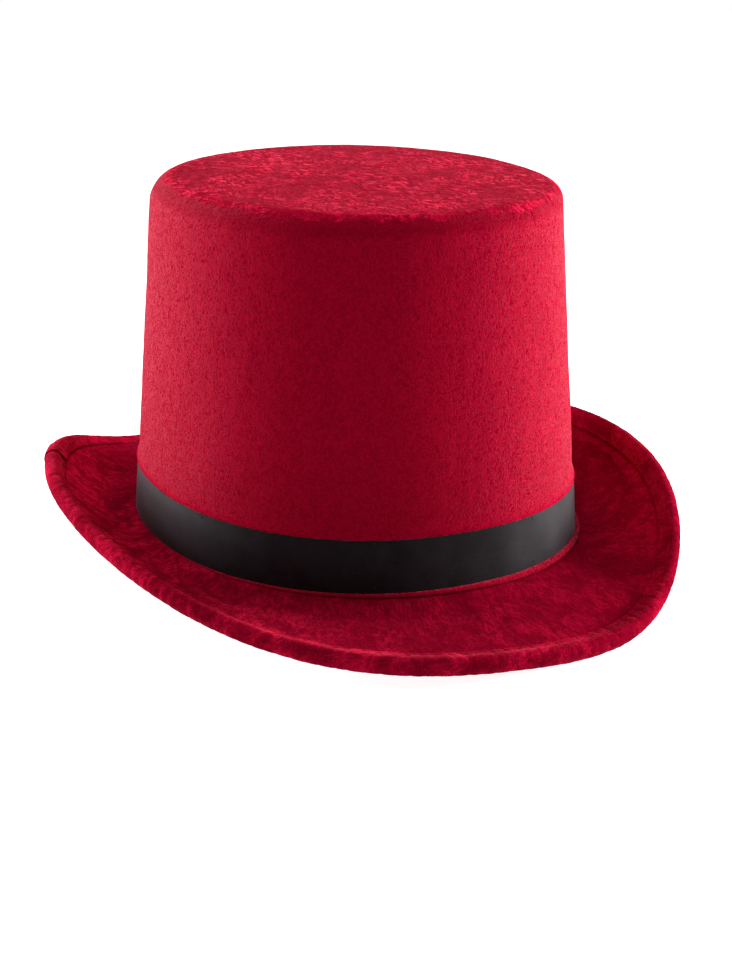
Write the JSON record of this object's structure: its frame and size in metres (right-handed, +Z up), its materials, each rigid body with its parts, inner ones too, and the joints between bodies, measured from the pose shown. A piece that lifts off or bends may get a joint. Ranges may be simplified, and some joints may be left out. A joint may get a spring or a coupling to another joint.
{
  "type": "top hat",
  "caption": "Velvet costume top hat with a tapered oval crown, a satin band and a curled brim with a rolled, bound edge.",
  "frame": {"origin": "on the surface that the hat stands on, under the middle of the brim's outline", "axes": "+Z up through the crown's tip, -Y towards the wearer's face (front of the hat), +X towards the wearer's left"},
  "size_m": [0.259, 0.316, 0.1611],
  "materials": {
    "crown_velvet": "knit-backed velvet, short smooth nap",
    "brim_velvet": "crushed velvet, mottled nap",
    "board": "stiffened black felt",
    "lining": "plain black lining cloth",
    "satin": "black satin ribbon",
    "sweatband": "black ribbed grosgrain",
    "steel": "spring steel wire",
    "red_thread": "twisted red polyester thread",
    "black_thread": "twisted black polyester thread",
    "label": "plain white woven tape, blank"
  },
  "bodies": {
    "hat": {"crown_cover": "crown_velvet", "crown_shell": "board", "crown_lining": "lining", "tip_lining": "lining", "brim_top_cover": "brim_velvet", "brim_board": "board", "brim_collar": "board", "brim_under_cover": "brim_velvet", "brim_wire": "steel", "wire_joiner": "steel", "edge_binding": "brim_velvet", "binding_join": "brim_velvet", "binding_stitches": "red_thread", "hat_band": "satin", "hat_band_join": "satin", "hat_band_stitches": "black_thread", "collar_stitches": "black_thread", "sweatband": "sweatband", "sweatband_join": "sweatband", "sweatband_stitches": "black_thread", "care_label_hem": "label", "care_label_stitches": "black_thread"},
    "care_label": {"care_label": "label"}
  },
  "joints": [
    {"name": "label_hinge", "type": "hinge", "parent": "hat", "child": "care_label", "pos_m": [0, 0.09265, 0.04118], "axis": [-1, 0, 0], "range_deg": [-4, 125]}
  ]
}
